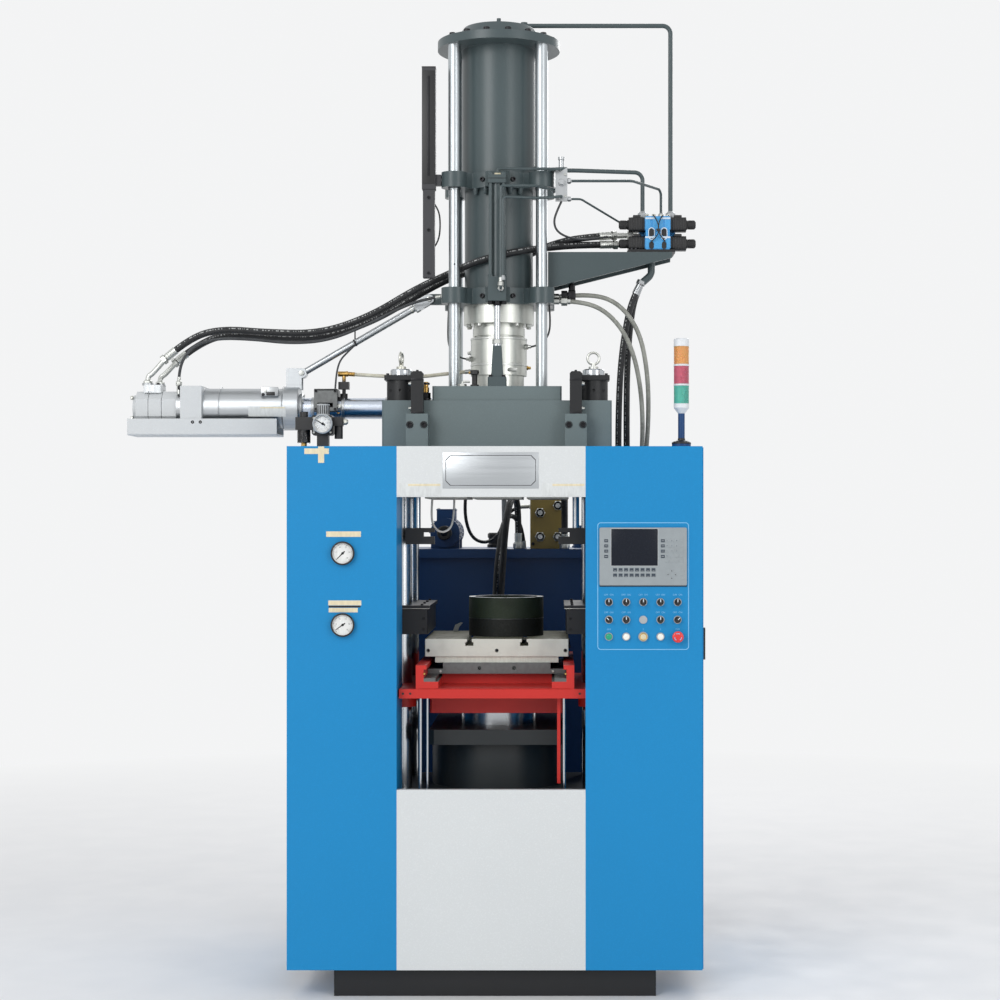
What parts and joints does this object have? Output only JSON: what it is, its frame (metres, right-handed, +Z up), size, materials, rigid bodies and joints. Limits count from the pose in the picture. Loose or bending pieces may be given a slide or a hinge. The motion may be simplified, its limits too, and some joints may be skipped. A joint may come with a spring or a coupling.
{
  "type": "injection moulding machine",
  "caption": "Vertical rubber injection moulding machine: four-bar clamp, shuttle table, top injection unit with side feeder, cabinets and a rear hydraulic unit.",
  "frame": {"origin": "on the floor under the injection axis, at the underside of the base frame", "axes": "+X to the right seen from the operator's side, +Y away from the operator, +Z up"},
  "size_m": [2.1283, 1.8293, 3.579],
  "materials": {
    "blue_paint": "gloss",
    "white_paint": "semi-gloss",
    "beam_paint": "semi-gloss",
    "unit_paint": "semi-gloss",
    "red_paint": "gloss",
    "black_steel": "satin",
    "chromed_bar": "polished",
    "machined_steel": "satin",
    "platen": "satin",
    "mould_iron": "machined",
    "valve_body": "satin",
    "hose_rubber": "matt",
    "grey_plastic": "matt",
    "lens_plastic": "gloss",
    "black_plastic": "matt",
    "green_plastic": "gloss",
    "white_plastic": "gloss",
    "beige_plastic": "gloss",
    "red_plastic": "gloss"
  },
  "bodies": {
    "frame": {"base_frame": "black_steel", "lower_beam": "beam_paint", "tie_bars": "chromed_bar", "tie_bar_nuts": "black_steel", "upper_beam": "beam_paint", "upper_platen": "platen", "upper_ejector_cylinders": "black_steel", "left_cabinet": "blue_paint", "right_cabinet": "blue_paint", "front_panels": "white_paint", "hydraulic_unit": "blue_paint", "panel_bezels": "grey_plastic", "hmi_unit": "grey_plastic", "tower_light": "lens_plastic", "air_regulator": "black_plastic", "lift_rod": "unit_paint", "rear_hoses": "hose_rubber", "tank_hoses": "hose_rubber"},
    "table": {"clamp_ram": "chromed_bar", "moving_platen": "red_paint"},
    "shuttle": {"carriage": "machined_steel", "lower_platen": "platen", "mould": "mould_iron"},
    "left_lower_ejector": {"left_lower_ejector": "black_steel"},
    "right_lower_ejector": {"right_lower_ejector": "black_steel"},
    "left_upper_ejector": {"left_upper_hook": "black_steel"},
    "right_upper_ejector": {"right_upper_hook": "black_steel"},
    "injection_unit": {"guide_columns": "chromed_bar", "injection_cylinder": "unit_paint", "injection_yokes": "unit_paint", "lift_cylinder": "unit_paint", "injection_barrel": "machined_steel", "directional_valves": "valve_body", "steel_pipes": "unit_paint", "feeder_body": "machined_steel", "feeder_motor": "machined_steel", "feeder_tray": "machined_steel", "sensor_post": "black_steel", "feeder_hoses": "hose_rubber"},
    "plunger": {"injection_plunger": "chromed_bar"},
    "screw": {"feed_screw": "machined_steel"},
    "door": {"cabinet_door": "blue_paint"},
    "handle": {"door_handle": "black_plastic"},
    "start_button": {"start_button": "green_plastic"},
    "reset_button": {"reset_button": "white_plastic"},
    "lamp_button": {"lamp_button": "beige_plastic"},
    "cycle_button": {"cycle_button": "white_plastic"},
    "emergency_stop": {"emergency_stop": "red_plastic"},
    "top_selector_1": {"top_selector_1": "black_plastic"},
    "top_selector_2": {"top_selector_2": "black_plastic"},
    "top_selector_3": {"top_selector_3": "black_plastic"},
    "top_selector_4": {"top_selector_4": "black_plastic"},
    "top_selector_5": {"top_selector_5": "black_plastic"},
    "lower_selector_1": {"lower_selector_1": "black_plastic"},
    "lower_selector_2": {"lower_selector_2": "black_plastic"},
    "lower_selector_3": {"lower_selector_3": "black_plastic"},
    "lower_selector_4": {"lower_selector_4": "black_plastic"},
    "upper_gauge_needle": {"upper_gauge_needle": "black_plastic"},
    "lower_gauge_needle": {"lower_gauge_needle": "black_plastic"},
    "air_gauge_needle": {"air_gauge_needle": "black_plastic"}
  },
  "joints": [
    {"name": "clamp_stroke", "type": "slide", "parent": "frame", "child": "table", "axis": [0, 0, 1], "range_m": [-0.04, 0.36]},
    {"name": "mould_shuttle", "type": "slide", "parent": "table", "child": "shuttle", "axis": [0, -1, 0], "range_m": [0, 0.2]},
    {"name": "left_lower_ejector_lift", "type": "slide", "parent": "table", "child": "left_lower_ejector", "axis": [0, 0, -1], "range_m": [-0.12, 0]},
    {"name": "right_lower_ejector_lift", "type": "slide", "parent": "table", "child": "right_lower_ejector", "axis": [0, 0, -1], "range_m": [-0.12, 0]},
    {"name": "left_upper_ejector_stroke", "type": "slide", "parent": "frame", "child": "left_upper_ejector", "axis": [0, 0, 1], "range_m": [-0.05, 0.09]},
    {"name": "right_upper_ejector_stroke", "type": "slide", "parent": "frame", "child": "right_upper_ejector", "axis": [0, 0, 1], "range_m": [-0.05, 0.09]},
    {"name": "unit_lift", "type": "slide", "parent": "frame", "child": "injection_unit", "axis": [0, 0, 1], "range_m": [-0.02, 0.15], "deforming": ["tank_hoses"]},
    {"name": "injection_stroke", "type": "slide", "parent": "injection_unit", "child": "plunger", "axis": [0, 0, -1], "range_m": [0, 0.3]},
    {"name": "feed_screw_turn", "type": "hinge", "parent": "injection_unit", "child": "screw", "pos_m": [-0.4, 0, 2.1055], "axis": [1, 0, 0], "continuous": true},
    {"name": "door_hinge", "type": "hinge", "parent": "frame", "child": "door", "pos_m": [0.7383, -0.262, 1], "axis": [0, 0, 1], "range_deg": [0, 110]},
    {"name": "door_handle_turn", "type": "hinge", "parent": "door", "child": "handle", "pos_m": [0.7353, -0.478, 1.295], "axis": [1, 0, 0], "range_deg": [0, 90]},
    {"name": "start_button_press", "type": "slide", "parent": "frame", "child": "start_button", "axis": [0, 1, 0], "range_m": [0, 0.004], "stiffness_N_per_m": 400},
    {"name": "reset_button_press", "type": "slide", "parent": "frame", "child": "reset_button", "axis": [0, 1, 0], "range_m": [0, 0.004], "stiffness_N_per_m": 400},
    {"name": "lamp_button_press", "type": "slide", "parent": "frame", "child": "lamp_button", "axis": [0, 1, 0], "range_m": [0, 0.004], "stiffness_N_per_m": 400},
    {"name": "cycle_button_press", "type": "slide", "parent": "frame", "child": "cycle_button", "axis": [0, 1, 0], "range_m": [0, 0.004], "stiffness_N_per_m": 400},
    {"name": "emergency_stop_press", "type": "slide", "parent": "frame", "child": "emergency_stop", "axis": [0, 1, 0], "range_m": [0, 0.004]},
    {"name": "top_selector_1_turn", "type": "hinge", "parent": "frame", "child": "top_selector_1", "pos_m": [0.402, -0.51, 1.396], "axis": [0, 1, 0], "range_deg": [-45, 45]},
    {"name": "top_selector_2_turn", "type": "hinge", "parent": "frame", "child": "top_selector_2", "pos_m": [0.463, -0.51, 1.396], "axis": [0, 1, 0], "range_deg": [-45, 45]},
    {"name": "top_selector_3_turn", "type": "hinge", "parent": "frame", "child": "top_selector_3", "pos_m": [0.523, -0.51, 1.396], "axis": [0, 1, 0], "range_deg": [-45, 45]},
    {"name": "top_selector_4_turn", "type": "hinge", "parent": "frame", "child": "top_selector_4", "pos_m": [0.5835, -0.51, 1.396], "axis": [0, 1, 0], "range_deg": [-45, 45]},
    {"name": "top_selector_5_turn", "type": "hinge", "parent": "frame", "child": "top_selector_5", "pos_m": [0.644, -0.51, 1.396], "axis": [0, 1, 0], "range_deg": [-45, 45]},
    {"name": "lower_selector_1_turn", "type": "hinge", "parent": "frame", "child": "lower_selector_1", "pos_m": [0.402, -0.51, 1.334], "axis": [0, 1, 0], "range_deg": [0, 90]},
    {"name": "lower_selector_2_turn", "type": "hinge", "parent": "frame", "child": "lower_selector_2", "pos_m": [0.463, -0.51, 1.334], "axis": [0, 1, 0], "range_deg": [-45, 45]},
    {"name": "lower_selector_3_turn", "type": "hinge", "parent": "frame", "child": "lower_selector_3", "pos_m": [0.5835, -0.51, 1.334], "axis": [0, 1, 0], "range_deg": [-45, 45]},
    {"name": "lower_selector_4_turn", "type": "hinge", "parent": "frame", "child": "lower_selector_4", "pos_m": [0.644, -0.51, 1.334], "axis": [0, 1, 0], "range_deg": [-90, 0]},
    {"name": "upper_gauge_turn", "type": "hinge", "parent": "frame", "child": "upper_gauge_needle", "pos_m": [-0.534, -0.515, 1.568], "axis": [0, 1, 0], "range_deg": [0, 270]},
    {"name": "lower_gauge_turn", "type": "hinge", "parent": "frame", "child": "lower_gauge_needle", "pos_m": [-0.534, -0.515, 1.316], "axis": [0, 1, 0], "range_deg": [-10, 260]},
    {"name": "air_gauge_turn", "type": "hinge", "parent": "frame", "child": "air_gauge_needle", "pos_m": [-0.624, -0.349, 2.031], "axis": [0, 1, 0], "range_deg": [-75, 195]}
  ],
  "couplings": [
    {"joint": "right_lower_ejector_lift", "follows": "left_lower_ejector_lift", "ratio": 1},
    {"joint": "right_upper_ejector_stroke", "follows": "left_upper_ejector_stroke", "ratio": 1}
  ]
}
